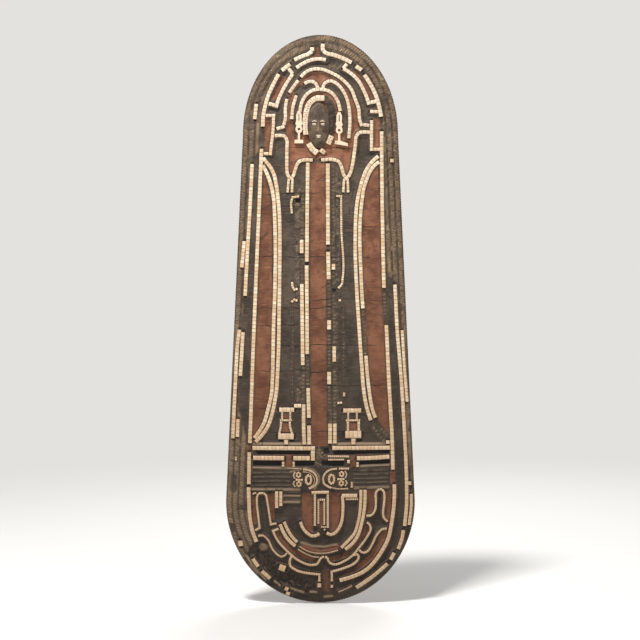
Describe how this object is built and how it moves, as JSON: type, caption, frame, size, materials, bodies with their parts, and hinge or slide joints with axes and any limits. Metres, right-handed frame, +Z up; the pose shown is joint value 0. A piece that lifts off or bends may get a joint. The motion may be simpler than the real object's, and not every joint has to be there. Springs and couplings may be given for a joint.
{
  "type": "parade shield",
  "caption": "Long convex shield of coiled cane, coated with dark putty and inlaid with rows of shell, with a bowed cane grip behind.",
  "frame": {"origin": "middle of the hand grip behind the shield", "axes": "+Z up the shield towards its head, decorated front towards -Y, +X to the viewer's right"},
  "size_m": [0.28, 0.0728, 0.84],
  "materials": {
    "nut_putty": "matt dark nut putty, painted in black and earth red, worn and cracked",
    "shell_inlay": "cream shell squares with a soft pearly sheen",
    "split_cane": "aged split cane, satin",
    "palm_spathe": "dry fibrous palm spathe"
  },
  "bodies": {
    "root": {"beard": "shell_inlay", "brow_bar_left": "shell_inlay", "brow_bar_right": "shell_inlay", "centre_row_left": "shell_inlay", "centre_row_right": "shell_inlay", "cheek_loop_left": "shell_inlay", "cheek_loop_right": "shell_inlay", "chin_wave": "shell_inlay", "ear_ornament_left": "shell_inlay", "ear_ornament_right": "shell_inlay", "flank_row_left": "shell_inlay", "flank_row_right": "shell_inlay", "foundation_coil": "split_cane", "fourth_arch_left": "shell_inlay", "fourth_arch_right": "shell_inlay", "grip_bar": "split_cane", "grip_binding": "split_cane", "hair_band": "shell_inlay", "hand_pad": "palm_spathe", "head_arch": "shell_inlay", "head_relief": "nut_putty", "jaw_loop_left": "shell_inlay", "jaw_loop_right": "shell_inlay", "jaw_row_inner": "shell_inlay", "jaw_row_outer": "shell_inlay", "left_arm": "shell_inlay", "left_border_outer_row": "shell_inlay", "left_border_row": "shell_inlay", "left_eye": "shell_inlay", "left_lens_row_a": "shell_inlay", "left_lens_row_b": "shell_inlay", "left_outer_row": "shell_inlay", "left_rib": "shell_inlay", "left_shoulder_frame": "shell_inlay", "left_small_figure": "shell_inlay", "lower_lashing": "split_cane", "mouth_row": "shell_inlay", "nose": "shell_inlay", "outer_arch_left": "shell_inlay", "outer_arch_right": "shell_inlay", "putty_ground": "nut_putty", "right_arm": "shell_inlay", "right_border_outer_row": "shell_inlay", "right_border_row": "shell_inlay", "right_eye": "shell_inlay", "right_lens_row_a": "shell_inlay", "right_lens_row_b": "shell_inlay", "right_outer_row": "shell_inlay", "right_rib": "shell_inlay", "right_shoulder_frame": "shell_inlay", "right_small_figure": "shell_inlay", "rim_coil": "split_cane", "second_arch": "shell_inlay", "spine_bundle": "split_cane", "third_arch": "shell_inlay", "upper_lashing": "split_cane", "waist_row_left": "shell_inlay", "waist_row_right": "shell_inlay"}
  },
  "joints": []
}
